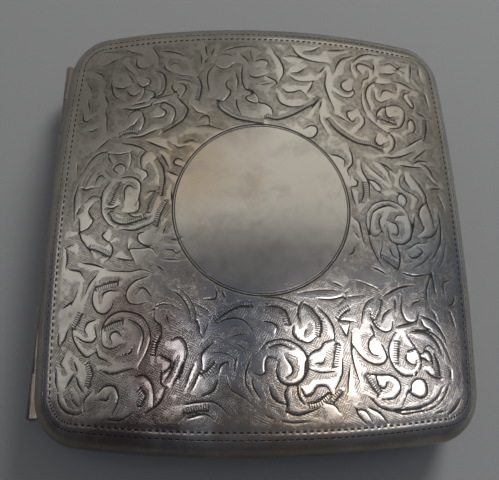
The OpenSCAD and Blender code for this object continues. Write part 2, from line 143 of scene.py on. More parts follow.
def columns(count, edges=True):
    """count evenly spaced places on each of the four runs. At each end of the rim's cuts two of them stand
    close together, so that the cuts have upright ends."""
    bases, normals = [], []
    step = 0.02
    cuts = {0: [PUSH_Y - SLOT_HALF, PUSH_Y + SLOT_HALF], 2: [GROOVE_END, -GROOVE_END]} if edges else {}
    for number, run in enumerate(quarter_runs()):
        base, normal = (np.concatenate(parts) for parts in zip(*run))
        line = base + CORNER_R * normal
        length = lengths_along(line)
        places = np.linspace(0, length[-1], count + 1)[:-1]
        for y in cuts.get(number, []):
            order = np.argsort(line[:, 1])
            place = np.interp(y, line[order, 1], length[order])
            k = int(np.searchsorted(places, place))
            places[k - 1], places[k] = place - step, place + step
        base, normal = (np.stack([np.interp(places, length, v) for v in values.T], -1)
                        for values in (base, normal))
        bases.append(base)
        normals.append(unit(normal))
    base, normal = np.concatenate(bases), np.concatenate(normals)
    line = base + CORNER_R * normal
    kind = np.full(len(line), PLAIN)
    if edges:
        kind[(line[:, 0] < 0) & (abs(line[:, 1]) < GROOVE_END)] = AT_HINGE
        kind[(line[:, 0] > 0) & (abs(line[:, 1] - PUSH_Y) < SLOT_HALF)] = AT_SLOT
    return {"base": base, "normal": normal, "kind": kind}


def inset_point(c, inset):
    inset = np.asarray(inset, float)
    return c["base"] + (CORNER_R - (inset[:, None] if inset.ndim else inset)) * c["normal"]


def rim_z(c, up):
    """The level of a shell's rim. up is 1 for the lid and -1 for the base."""
    z = seam(inset_point(c, 0)[:, 0]) + up * SEAM_GAP / 2
    if up < 0:
        z = np.where(c["kind"] == AT_SLOT, z - (PUSH_DROP + PUSH_H + PUSH_CLEARANCE - SEAM_GAP / 2), z)
    return np.where(c["kind"] == AT_HINGE, AXIS_Z + up * GROOVE_R, z)


def roll_inset(height, width, rise):
    return width * (1 - np.sqrt(1 - np.minimum(height / rise, 1) ** 2))


def inner_inset(height):
    return WALL + roll_inset(height, ROLL_W - WALL, RISE - WALL)


# Meshes

SMOOTH_ANGLE = math.radians(40)


def show(name, data):
    """A new object in the scene."""
    made = bpy.data.objects.new(name, data)
    bpy.context.scene.collection.objects.link(made)
    return made


def make_piece(name, points, faces, body, replaced, materials, kinds=None, attributes=None):
    """A mesh piece from points in millimetres, riding on a body in place of a solid. kinds has each face's
    material. Without it the piece is a closed bar, whose faces are turned outwards."""
    mesh = bpy.data.meshes.new(name)
    mesh.from_pydata((points * MM).tolist(), [], faces)
    for material in materials:
        mesh.materials.append(material)
    if kinds:
        mesh.polygons.foreach_set("material_index", kinds)
        for key, values in attributes.items():
            mesh.attributes.new(key, "FLOAT", "POINT").data.foreach_set("value", values.astype(np.float32))
    else:
        shape = bmesh.new()
        shape.from_mesh(mesh)
        bmesh.ops.recalc_face_normals(shape, faces=shape.faces)
        shape.to_mesh(mesh)
        shape.free()
    mesh.shade_smooth()
    mesh.set_sharp_from_angle(angle=SMOOTH_ANGLE)
    piece = show(name, mesh)
    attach(piece, body)
    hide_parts(replaced)
    return piece


def ring_quads(a, b):
    """Quads between two closed rings of equal count."""
    return np.stack([a, np.roll(a, -1), np.roll(b, -1), b], -1).tolist()


def merge_quads(fine, coarse):
    """Triangles and quads between a ring and one with a whole fraction of its points."""
    ratio = len(fine) // len(coarse)
    faces = []
    for k, point in enumerate(coarse):
        after = coarse[(k + 1) % len(coarse)]
        chain = [fine[(k * ratio + i) % len(fine)] for i in range(ratio + 1)]
        half = ratio // 2
        faces += [[chain[i], chain[i + 1], point] for i in range(half)]
        faces.append([chain[half], after, point])
        faces += [[chain[i], chain[i + 1], after] for i in range(half, ratio)]
    return faces


def fill_ring(points, ring_ids, count, level):
    """Adds a grid of square rings inside a closed ring of 4 * count points. level gives its heights."""
    u, v = np.meshgrid(np.linspace(-1, 1, count + 1), np.linspace(-1, 1, count + 1), indexing="ij")
    ring = np.maximum(abs(u), abs(v))
    safe = np.where(ring == 0, 1, ring)
    a, b = u / safe, v / safe
    wide = abs(u) >= abs(v)
    right_left = np.where(u > 0, (b + 1) / 2, 2 + (1 - b) / 2)
    place = np.where(wide, right_left, np.where(v > 0, 1 + (1 - a) / 2, 3 + (a + 1) / 2)) * count
    place = np.round(place, 9) % (4 * count)
    low = np.floor(place).astype(int) % (4 * count)
    part = (place - np.floor(place))[..., None]
    boundary = points[ring_ids, :2]
    grid = (boundary[low] * (1 - part) + boundary[(low + 1) % (4 * count)] * part) * ring[..., None]
    on_edge = np.isclose(ring, 1)
    ids = np.where(on_edge, ring_ids[low], 0)
    ids[~on_edge] = len(points) + np.arange((~on_edge).sum())
    middle = grid[~on_edge]
    quads = np.stack([ids[:-1, :-1], ids[1:, :-1], ids[1:, 1:], ids[:-1, 1:]], -1).reshape(-1, 4)
    return np.vstack([points, np.column_stack([middle, level(middle)])]), quads


ROLL_STEPS, INSIDE_STEPS, RIM_EASE = 9, 5, 0.12


def shell_rings(c, up, amount):
    """The rings of a shell, from where its inside face starts, over the rim and up to its outside face."""
    rim = rim_z(c, up)
    over = up * (rim - seam(inset_point(c, 0)[:, 0]))

    def roll(width, rise, sheet, fraction, lift=0.0, end=math.pi / 2):
        start = np.arcsin((over + lift) / rise)
        angle = start + (end - start) * fraction
        p = inset_point(c, sheet + width * (1 - np.cos(angle)))
        return np.column_stack([p, seam(p[:, 0]) + up * (rise * np.sin(angle) + crown(p, amount))])

    rings = [roll(ROLL_W - WALL, RISE - WALL, WALL, k / INSIDE_STEPS) for k in range(INSIDE_STEPS, -1, -1)]
    rings[-1][:, 2] = rim
    base_inset = roll_inset(over, SOFT_ROLL_W, RISE)
    rings.append(np.column_stack([inset_point(c, base_inset + RIM_EASE), rim]))
    rings.append(np.column_stack([inset_point(c, base_inset + RIM_EASE * EASE_SHARE),
                                  rim + up * RIM_EASE * EASE_SHARE]))
    end = math.acos(1 - GRID_INSET / SOFT_ROLL_W)
    return rings + [roll(SOFT_ROLL_W, RISE, 0, k / ROLL_STEPS, RIM_EASE, end) for k in range(ROLL_STEPS + 1)]


# The engraving. Each row is one cut of the graver: a few points in tenths of a millimetre from
# the middle of the lid. f marks a fine cut, and L or R says on which side of a cut the silver is hatched.
CUTS = """
# The upper left scroll
-283,269 -284,258 -280,241 -274,230 -266,226
-236,211 -219,213 -205,222 -198,229 -202,236 -213,240
-251,240 -247,233 -237,229 -230,234
-277,252 -269,248 -258,247 -249,252
-233,259 -229,251 -220,247 -212,251 -208,259 -213,266 -219,267
f -219,247 -219,236 -222,226 -229,220
f -252,276 -247,270 -243,262 -241,256
f -261,297 -255,288 -244,280
-238,313 -238,299 -233,291 -222,288 -216,291
R -195,279 -186,274 -180,263 -179,247 -184,233 -197,223
-188,324 -169,321 -155,316 -147,311
-184,294 -181,284 -169,277
f -177,288 -166,296 -156,293 -151,283
f -158,273 -149,268 -133,267
-165,252 -167,243 -161,234 -156,230
-152,251 -143,247 -141,236 -149,222
f -158,258 -141,258 -124,249
R -118,263 -112,247 -113,230 -116,216
R -156,222 -147,211 -138,201 -136,191 -144,174 -161,161 -177,152
-186,205 -181,211 -172,208 -161,199 -158,186 -163,169
-186,201 -176,194 -177,186 -186,180 -194,181
-220,194 -215,180 -216,166 -222,156
-229,176 -233,168 -241,165
f -247,180 -244,191 -233,197 -224,197
-240,144 -219,144 -202,151 -191,156
fL -258,149 -241,153 -227,152
-297,127 -288,134 -279,142
-327,224 -324,213 -323,208
-336,202 -333,188 -327,183 -319,188
-320,162 -313,162 -305,166
-294,233 -288,220 -288,213
-291,199 -287,188 -286,172 -284,161
-294,305 -286,308 -277,313
f -261,334 -249,327 -236,323
-256,204 -241,201 -222,202 -199,208 -180,213
f -202,213 -188,222 -169,227 -158,233
f -318,288 -306,282 -299,270
f -332,264 -324,252 -322,240
f -312,330 -296,332 -282,328
f -208,334 -196,314 -194,296
# The top scroll
-97,233 -101,255 -100,272 -94,283 -89,291
f -89,292 -80,284 -69,281 -59,286 -51,294 -39,293
-64,256 -67,249 -64,240 -58,234 -61,222 -72,211 -80,213
L -81,213 -79,199 -68,188 -48,176 -23,170 -1,167
L 7,179 27,175 43,180 60,188 82,202 99,213 106,222
24,320 34,306 41,288 41,272 34,258
-71,322 -48,330 -21,333 -15,330
-39,313 -30,305 -26,297
f -21,322 -19,308 -16,302
-12,299 -1,303 10,301 13,294 11,291
-23,270 -21,265 -9,263 4,268
-36,288 -37,269 -36,252 -30,238 -18,229
-48,269 -44,255 -46,241
f -34,234 -23,237 -14,230 -7,219 -6,209
-22,224 -30,220 -26,213 -15,208 -7,209
-7,209 7,206 17,198 19,188
-47,216 -46,202 -40,188
10,265 24,258 28,251 24,248
f -1,247 18,251
27,229 29,219 36,208 54,202 74,205
41,238 46,233 60,234 71,238 82,229
60,276 70,277 81,286
f 52,269 66,259 82,258 99,261
86,236 92,244 96,255
111,280 120,291
61,334 66,322 79,311 99,305 124,304
88,327 102,330 113,338
93,202 106,222
111,216 107,202
f 106,188 107,174 116,158
82,161 88,165 99,163 100,152 91,141 79,141 67,147
-114,174 -107,181 -97,179 -96,166
-107,333 -103,313
-90,327 -94,313
-114,313 -113,294
-107,295 -103,304
f -86,310 -70,314 -54,310
f -119,160 -98,161 -72,153
f 46,312 60,314 74,310
f -128,202 -119,190 -106,186
# The upper right scroll
124,280 120,255 124,233 135,202
142,287 146,299 158,315 178,324
f 174,305 173,294 176,286
181,312 192,324 211,333 233,334
192,291 186,297 188,306 197,309 211,305 219,299
222,311 222,297
f 210,286 207,277 197,272 193,258
219,269 208,261 201,247 200,233 206,213
f 192,244 190,224 196,199 211,180 231,166 247,158
f 218,247 219,233 231,227 243,233
233,245 236,252 247,255 258,251
f 219,268 239,268 256,272
261,277 278,276 294,269 303,265
f 267,269 265,255
278,213 275,194 264,177 244,172
f 243,219 256,224 270,222 278,213
238,213 238,202 244,195 253,198
218,188 219,202 228,213 239,219
fL 222,191 256,183
f 279,241 281,251 292,256
292,244 299,233 297,222 289,229 281,241
306,213 322,206
R 322,199 322,186 318,169 313,158
282,180 283,191 292,197 297,186 294,172 281,166
275,138 294,151 308,158
163,268 153,261 153,249 163,243 174,247 174,252
f 142,237 153,230 167,230 176,238 178,247
169,202 160,199 160,188 169,179 175,186
186,199 193,186 189,172 179,163
L 121,180 133,163 153,147 175,136 200,133 222,126
214,154 210,144 219,134 229,140
242,161 250,149 247,133 236,122
f 246,313 256,318 267,313 275,306
242,293 256,293 265,297
f 281,326 300,327
303,322 301,302 299,291
321,315 319,305 322,297
328,258 330,244 332,236
f 308,288 319,277
f 269,302 278,312 289,315
f 138,191 163,176
132,332 144,334 162,337
# The left scroll
-280,118 -297,114 -313,98 -324,78
-329,57 -334,34 -333,15 -331,-7
-252,132 -236,129 -219,123 -208,115
-205,133 -191,126 -172,118
-277,109 -274,101 -269,96
f -277,114 -258,111 -241,113
f -236,115 -233,98 -237,82
-258,76 -265,82 -261,90 -251,92 -244,87 -244,82
-297,59 -294,68 -287,72 -281,68
f -281,83 -274,73
-323,50 -313,47 -302,50
f -316,54 -309,71 -299,83
-249,66 -230,66 -216,57 -213,44 -215,29 -219,21
-270,59 -281,43 -283,23 -280,1 -269,-16 -258,-24
L -266,1 -258,-13 -241,-20 -222,-17 -202,-10
-241,26 -242,43 -234,51 -224,44
-215,29 -213,12 -218,1 -229,0
fR -266,18 -261,32 -251,54
-272,11 -261,9 -252,14
f -236,1 -224,-7 -213,-7
-215,80 -205,76 -202,66 -208,61
-208,112 -216,104 -216,90 -213,82
-180,108 -166,84
R -186,98 -176,82 -172,62 -173,46 -175,32
f -202,32 -197,37 -183,39
fR -199,1 -195,18 -188,34
-241,-29 -219,-31 -199,-24 -186,-18
-299,18 -305,7 -299,-4 -295,-11 -302,-24 -318,-32
-323,12 -327,1
-322,-4 -316,-38 -305,-54 -291,-70
-269,-31 -276,-38 -270,-46 -261,-52
-261,-52 -255,-63 -258,-77 -264,-82
fL -297,-60 -280,-66 -261,-75
f -229,-52 -230,-60 -224,-71 -216,-84
-244,-79 -233,-82 -219,-83
-202,-35 -212,-38 -212,-49 -202,-57 -186,-59
f -227,-63 -208,-63 -188,-63 -179,-74
-305,-86 -286,-89 -269,-95
f -258,-100 -224,-102 -202,-99 -180,-106
fR -166,18 -174,1 -181,-24
-158,37 -158,21
-165,73 -149,66
-144,83 -155,87 -156,94 -149,98 -141,94
-141,128 -127,133 -120,130
f -158,125 -149,119 -138,122
-339,-64 -336,-79 -337,-91
f -340,-57 -328,-53
-329,-96 -311,-100 -305,-107
-166,-24 -169,-38
f -163,-66 -152,-67 -144,-73 -136,-67
f -166,-82 -141,-84
-177,-93 -166,-101
f -336,98 -334,80
f -310,26 -300,34 -289,32
f -162,-46 -149,-50 -139,-47
# The right scroll
124,109 137,107 148,100 147,91
158,125 163,109 162,93 153,82 154,71
178,93 181,79 188,66 191,51 189,29
164,65 170,59 167,51 160,50
189,66 203,62 214,51 213,46
f 195,57 203,46 217,39
157,44 159,29 163,16
fR 174,23 180,37 180,57
f 184,4 195,18 214,26 234,26 251,18 262,4
195,4 206,12 226,18 239,14
f 183,-38 180,-16 183,1
183,-41 187,-57 194,-74 203,-92
f 194,4 188,-16 187,-35 198,-39 206,-32
210,-3 205,-10 206,-24 212,-35
228,-13 237,-16 240,-27 237,-36 230,-35
262,1 267,-18 264,-38 253,-49 239,-52 223,-45 220,-27
f 234,-7 241,1 251,1
246,44 259,39 262,29 258,21
f 245,23 244,34 251,43
f 256,80 252,68 253,57 264,48 277,43 287,34 281,25
263,78 263,68 271,57
278,79 292,62 302,43 303,29 309,9 312,-7 313,-18
301,28 289,18 284,4 288,-10 292,-21 284,-29
274,-4 270,-21 264,-38
289,-38 303,-36 314,-28 321,-16
326,9 326,-16 323,-41 314,-60 305,-73
f 331,-52 323,-77 312,-92
256,-71 264,-76 276,-71 284,-63 278,-59
221,-59 224,-70 233,-77
234,-54 238,-71 237,-85 231,-99
f 206,-60 202,-71 203,-77
fL 203,-77 217,-85 231,-95
242,-103 259,-107 278,-106 295,-102
f 301,-66 284,-82 259,-96
227,112 245,112 267,119 284,128
287,114 301,125 314,136
259,98 276,97 298,98
284,104 298,111 317,112
217,98 228,94 242,83
f 221,93 230,84 233,71
303,105 312,101 319,93 323,83 334,73
317,57 334,59
f 331,43 338,23
160,-10 167,-16 170,-32 173,-52
145,-74 153,-69 156,-61
f 158,-34 164,-43
187,-95 198,-99 209,-106
214,-138 231,-129 253,-125
281,-135 287,-121 296,-102
298,-107 299,-127 302,-138
331,-113 320,-117 317,-128 319,-135
f 195,88 210,76 222,66
f 313,82 322,70 332,66
f 258,-59 274,-49 290,-48
# The lower left scroll
-280,-107 -291,-121 -298,-139
f -311,-132 -319,-154
-320,-151 -334,-161
-280,-125 -284,-139 -283,-153 -274,-167 -261,-171 -251,-163 -247,-150
-266,-144 -265,-138 -255,-133 -244,-134
fR -279,-128 -261,-122 -243,-119
-191,-110 -211,-117 -223,-128 -227,-142 -219,-154 -205,-156 -194,-153
-206,-136 -202,-129 -194,-132 -183,-146
-263,-211 -263,-194 -255,-178 -238,-168 -219,-168 -199,-175 -186,-192 -182,-211 -188,-233 -199,-253
-216,-181 -202,-189 -194,-203 -195,-217 -199,-231
-230,-207 -236,-200 -244,-200 -249,-207 -245,-215
f -263,-211 -258,-222 -244,-226 -230,-219
fR -258,-192 -244,-185 -230,-182
-224,-235 -215,-233 -211,-226
-269,-229 -265,-239 -252,-244
-258,-260 -241,-264 -224,-260 -208,-256
-277,-181 -288,-185 -293,-196 -288,-204
-276,-192 -272,-206 -277,-215 -291,-215 -305,-207
-315,-196 -311,-211 -299,-228 -286,-239 -274,-233
fL -311,-194 -305,-183 -301,-172
f -180,-164 -169,-157 -152,-157 -138,-164
-163,-172 -158,-175 -154,-186
-177,-167 -177,-181 -166,-189
R -168,-189 -165,-203 -172,-219 -174,-233
-149,-135 -136,-144 -124,-161 -119,-178
f -138,-132 -122,-147 -112,-167 -111,-183
-147,-211 -136,-208 -126,-217 -123,-233 -127,-250 -133,-272
-166,-235 -158,-239 -149,-244 -149,-253 -158,-261
-162,-261 -162,-278 -154,-283
-202,-267 -188,-267 -177,-278 -173,-294 -173,-311
-155,-286 -163,-306 -183,-321
-261,-292 -252,-283 -238,-282 -230,-292 -229,-306 -236,-322
-244,-297 -247,-303 -255,-303
f -244,-331 -224,-332 -205,-322
-304,-250 -299,-261
-305,-267 -311,-278 -315,-285
-299,-272 -294,-283 -286,-292
-338,-203 -337,-217 -334,-222
-322,-197 -326,-211 -331,-218
f -324,-239 -329,-250 -323,-256
-336,-261 -334,-278 -330,-289
-330,-294 -324,-311 -311,-322 -294,-325 -284,-321
f -274,-293 -283,-303 -284,-314
fR -280,-248 -274,-264 -277,-282
fR -194,-286 -186,-296 -192,-310
-142,-246 -149,-264 -156,-274
-129,-249 -134,-264 -143,-279
f -306,-294 -302,-306 -292,-314
f -316,-302 -310,-312
# The bottom scroll
L -79,-183 -59,-169 -40,-160 -21,-159
-76,-187 -59,-180 -40,-180 -26,-189 -19,-201
f -55,-209 -43,-205 -29,-205
0,-146 16,-146 32,-149 49,-155 56,-160
56,-160 54,-173 57,-184
R 2,-160 21,-162 34,-170 39,-187
-1,-184 13,-187 20,-194 18,-201
R 60,-155 74,-162 88,-180 91,-192 88,-206
89,-163 102,-176 111,-192 113,-212
46,-192 45,-203 54,-213 71,-217 82,-209
66,-197 64,-203
-7,-228 4,-217 24,-212 43,-216 59,-227 67,-242 67,-259 60,-273 52,-280
7,-224 24,-220 41,-226
21,-245 18,-262 24,-276 38,-281 52,-278 61,-267 63,-248
34,-242 42,-253 42,-264 34,-269
16,-241 4,-239 0,-251 0,-262 -9,-266 -18,-263
-23,-242 -30,-262 -30,-278 -21,-295
-21,-270 -18,-284 -9,-299
7,-287 11,-298 21,-306 32,-309
35,-284 30,-295 34,-309 32,-320
32,-320 49,-325 68,-321 82,-316
50,-284 52,-298 59,-308
57,-289 63,-298 74,-294 82,-284 96,-284 104,-294
fR 68,-309 82,-306 99,-295
68,-239 77,-231 88,-227 96,-217 110,-213
82,-249 92,-249 95,-242
f 71,-258 88,-263 110,-262
124,-245 123,-264 117,-278 111,-287
fR 109,-253 111,-239 116,-220
-98,-256 -100,-237 -93,-226 -82,-217
fR -98,-264 -87,-256 -80,-248
f -82,-232 -68,-232 -54,-237 -48,-242
-73,-262 -69,-251 -59,-246 -57,-251
-44,-237 -47,-251 -48,-262
f -61,-267 -57,-281 -51,-289 -34,-298 -21,-309
-123,-308 -104,-305 -84,-304 -71,-310 -57,-324
-118,-328 -101,-323 -90,-323 -80,-330
fL -124,-322 -104,-318 -88,-316
-123,-280 -118,-264 -112,-251
-112,-284 -106,-269 -100,-257
-80,-133 -78,-139 -80,-148 -96,-149
-69,-136 -63,-148
-107,-184 -103,-203
f -98,-206 -90,-187
f 58,-139 96,-134 127,-135
88,-148 110,-149 129,-144 139,-134
f 27,-334 43,-336 66,-335
f 2,-326 11,-330
-74,-274 -80,-288 -96,-296
f -46,-218 -34,-226 -30,-236
f -108,-158 -94,-166 -86,-174
f 94,-308 108,-312 116,-322
# The lower right scroll
183,-146 171,-154 164,-167 160,-183
176,-167 178,-181 186,-194 200,-201 211,-197 214,-186
196,-182 201,-172 213,-164
fL 184,-181 192,-167 197,-150
179,-206 172,-213 169,-225 175,-236 183,-238
192,-221 198,-233 199,-244 189,-252 172,-250 156,-239 143,-221
142,-203 140,-225 142,-247 150,-276
175,-189 181,-206
219,-201 211,-211 204,-228 206,-247 217,-264 233,-271 250,-267 260,-253 258,-236 251,-225 239,-207
251,-229 239,-232 233,-242 239,-251 249,-254 251,-250
fL 218,-250 220,-233 222,-217
236,-144 232,-161 236,-178 244,-185 258,-183 264,-169
253,-158 258,-153 269,-150
203,-143 219,-133 239,-126 258,-124
222,-193 233,-190 256,-186
246,-201 264,-201 281,-207 294,-222 300,-236
f 256,-197 278,-200 297,-211 308,-228 315,-247
264,-236 272,-232 279,-239 281,-256
264,-243 275,-250
f 267,-229 277,-223 288,-230
R 286,-239 292,-256 292,-275
267,-264 278,-272 292,-278
167,-267 186,-268 203,-269 217,-278 219,-292 208,-304 189,-306
179,-272 183,-285 192,-289 197,-282
fL 161,-269 169,-283 181,-297
239,-292 240,-283 250,-276 263,-279 267,-292 264,-301 253,-305 239,-299 233,-294 222,-314
168,-304 183,-317 200,-322 219,-322 244,-321 267,-315 283,-306 294,-292
f 192,-319 219,-328 244,-326 272,-322 294,-308 306,-292
136,-256 132,-278 131,-292
142,-319 147,-328 156,-338
f 144,-319 158,-322 168,-336
164,-317 181,-325 193,-339
117,-122 128,-127
f 122,-157 139,-146 164,-142
fL 121,-180 128,-172 139,-164
121,-183 144,-184
124,-192 133,-207 139,-189
292,-169 297,-179
325,-167 332,-192
f 267,-181 272,-192 283,-197
269,-175 292,-186 306,-206 311,-219
338,-142 333,-153 321,-158
314,-264 313,-278
f 307,-289 294,-308
304,-331 316,-322 325,-312
f 281,-329 294,-327
222,-147 221,-164
f 283,-131 282,-150
fL 108,-308 121,-294
f 190,-130 174,-124 162,-119
"""


# The cuts of the graver

BOLD_W, FINE_W, HATCH_REACH, FACE_CELL = 0.14, 0.09, 0.75, 0.29
CUT_DEPTH, DASH_DEPTH, DASH_PITCH = 0.022, 0.03, 1.12
# The border's rows: how far in each runs, and a dash's half width and length
DASH_ROWS = ((4.98, 0.18, 0.6), (3.85, 0.12, 0.7))
# How much nearer the border comes to the edge on the right and on the left
RIGHT_SHIFT, LEFT_SHIFT = 0.9, 0.25
# The rows above were read on a face a little smaller than the case's, and a little to its left
CUT_SCALE, CUT_SHIFT = 1.03, (0.25, 0)
# The double ring: its middle, its radius, each line's offset and half width, and the plain margin round it
RING_MIDDLE, RING_R, RING_LINES = np.array((0.05, 1.06)), 15.65, ((0.17, 0.11), (-0.2, 0.07))
RING_MARGIN = 0.6
# How far a cut is felt, how far past its ends it counts, and the distances given where there is none
REACH, END_SLACK, NO_EDGE, FAR = 2.2, 0.2, 2.0, 9.0
# The polished leaf beside a cut: how fast it starts and how far it goes. Then where hatching starts and ends.
LEAF_START, LEAF_REACH, HATCH_START, HATCH_END = 0.25, 1.7, -0.4, 1.2


def curve_through(points, steps=8):
    """A smooth line through a few points."""
    p = np.vstack([2 * points[0] - points[1], points, 2 * points[-1] - points[-2]])
    t = np.arange(steps)[:, None] / steps
    parts = [0.5 * (2 * b + (c - a) * t + (2 * a - 5 * b + 4 * c - d) * t ** 2
                    + (3 * b - a - 3 * c + d) * t ** 3)
             for a, b, c, d in zip(p[:-3], p[1:-2], p[2:-1], p[3:])]
    return np.vstack(parts + [points[-1:]])


def make_cut(line, half_w, side):
    """One cut: its centre line, how far along each point is, its half width there and its hatched side."""
    along = lengths_along(line)
    width = half_w * (0.3 + 0.7 * np.sin(math.pi * (along / along[-1]) ** 0.8) ** 0.7)
    tangent = unit(np.gradient(line, axis=0))
    turns = (tangent[:-1, 0] * tangent[1:, 1] - tangent[:-1, 1] * tangent[1:, 0]).sum()
    return {"line": line, "along": along, "width": width, "tangent": tangent, "side": side,
            "leaf_side": side or (1 if turns > 0 else -1)}


def all_cuts():
    """The cuts that the rows describe."""
    for row in CUTS.splitlines():
        if row and row[0] != "#":
            places = row.split()
            kind = places.pop(0) if places[0][0] in "fLR" else ""
            points = np.array([[int(v) for v in place.split(",")] for place in places]) / 10
            half_w = FINE_W if "f" in kind else BOLD_W
            side = 1 if "L" in kind else -1 if "R" in kind else 0
            yield make_cut(curve_through((points + CUT_SHIFT) * CUT_SCALE), half_w, side)


def engrave(xy):
    """What the graver leaves at each point: the distances to the nearest cut's edge and to its centre line,
    the cut's depth and half width, the nearest place on that line, the hatching and the share of ground."""
    found = {key: np.zeros(len(xy)) for key in ("depth", "hatch", "phase", "width")}
    found |= {"edge": np.full(len(xy), NO_EDGE), "gap": np.full(len(xy), FAR), "foot": xy.copy(),
              "ground": np.full(len(xy), 0.5)}
    for cut in all_cuts():
        low, high = cut["line"].min(0) - REACH, cut["line"].max(0) + REACH
        near = np.flatnonzero(np.all((xy > low) & (xy < high), axis=1))
        offset = xy[near][:, None] - cut["line"][None]
        k = np.einsum("ijk,ijk->ij", offset, offset).argmin(1)
        offset = offset[np.arange(len(near)), k]
        tangent, width = cut["tangent"][k], cut["width"][k]
        along = np.einsum("ij,ij->i", offset, tangent)
        across = tangent[:, 0] * offset[:, 1] - tangent[:, 1] * offset[:, 0]
        slack = np.maximum(abs(along) - END_SLACK, 0)
        distance = np.hypot(across, slack)
        bright = np.clip(across * cut["leaf_side"] / LEAF_START, -1, 1) * np.clip(LEAF_REACH - distance, 0, 1)
        here = {"edge": distance - width, "gap": distance, "width": width, "ground": 0.5 - 0.5 * bright,
                "depth": CUT_DEPTH * np.clip(1 - distance / (width + 0.05), 0, 1) * width / BOLD_W,
                "foot": xy[near] - across[:, None] * np.stack([-tangent[:, 1], tangent[:, 0]], -1)}
        nearer = here["edge"] < found["edge"][near]
        for key, values in here.items():
            found[key][near[nearer]] = values[nearer]
        if cut["side"]:
            span = (across * cut["side"] - width) / HATCH_REACH
            mask = np.where((span > HATCH_START) & (slack == 0), np.clip(HATCH_END - span, 0, 1), 0)
            better = mask > found["hatch"][near]
            found["hatch"][near[better]] = mask[better]
            found["phase"][near[better]] = (cut["along"][k] + along)[better]
    return found


# The shells

LID_COLUMNS, BASE_COLUMNS, INSIDE_SHARE = ((264, 168, 4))
OUTLINE_POINTS, AT_ONCE, INSIDE_EDGE, GILT_KIND = 1500, 2000, 0.4, 1


def outline_place(xy):
    """How far inside the outline each point is, how far along it, and how far the side there faces right."""
    c = columns(OUTLINE_POINTS, edges=False)
    line = inset_point(c, 0)
    place = np.empty(len(xy), int)
    for start in range(0, len(xy), AT_ONCE):
        part = xy[start:start + AT_ONCE]
        square = (part ** 2).sum(1)[:, None] - 2 * part @ line.T + (line ** 2).sum(1)[None]
        place[start:start + AT_ONCE] = square.argmin(1)
    across = np.einsum("ij,ij->i", line[place] - xy, c["normal"][place])
    return across, lengths_along(line)[place], c["normal"][place, 0]


def engrave_face(points, free, outside):
    """Cuts the engraving, the ring and the border into the points of the lid's face. Points beside a cut's
    centre line move onto it. It gives the depth at each point and what the finish has to know."""
    found = engrave(points[:, :2])
    snap = free & (found["gap"] < 0.5 * FACE_CELL)
    points[snap, :2] = found["foot"][snap]
    found["edge"][snap] = -found["width"][snap]
    depth = np.where(free, found["depth"], 0)
    depth[snap] = CUT_DEPTH * found["width"][snap] / BOLD_W
    from_ring = points[:, :2] - RING_MIDDLE
    ring_gap = np.linalg.norm(from_ring, axis=1) - RING_R
    on_ring = free & (abs(ring_gap) < 0.5 * FACE_CELL)
    points[on_ring, :2] -= unit(from_ring[on_ring]) * ring_gap[on_ring, None]
    depth[on_ring] = CUT_DEPTH
    moved = snap | on_ring
    points[moved, 2] = outside(points[moved, :2])
    inset, along, side = outline_place(points[:, :2])
    inset = inset + np.where(side > 0, RIGHT_SHIFT, LEFT_SHIFT) * side ** 2
    for row, half_w, length in DASH_ROWS:
        on_row = np.clip(1.4 - abs(inset - row) / half_w, 0, 1)
        beat = abs((along / DASH_PITCH) % 1 - 0.5) * DASH_PITCH
        depth = np.where(free, np.maximum(depth, DASH_DEPTH * on_row * (beat < length / 2)), 0)
    points[:, 2] -= depth
    return depth, {"cut_edge": found["edge"], "hatch": np.where(free, found["hatch"], 0),
                   "hatch_phase": found["phase"], "rim_inset": inset, "rim_along": along,
                   "worked": np.clip(ring_gap / RING_MARGIN, 0, 1), "ground": found["ground"]}


def split_along_cuts(quads, depth):
    """Two triangles for each quad, parted along the diagonal that lies deeper."""
    first = depth[quads[:, 0]] + depth[quads[:, 2]]
    second = depth[quads[:, 1]] + depth[quads[:, 3]]
    turned = np.where((second > first)[:, None], np.roll(quads, -1, axis=1), quads)
    return np.vstack([turned[:, [0, 1, 2]], turned[:, [0, 2, 3]]])


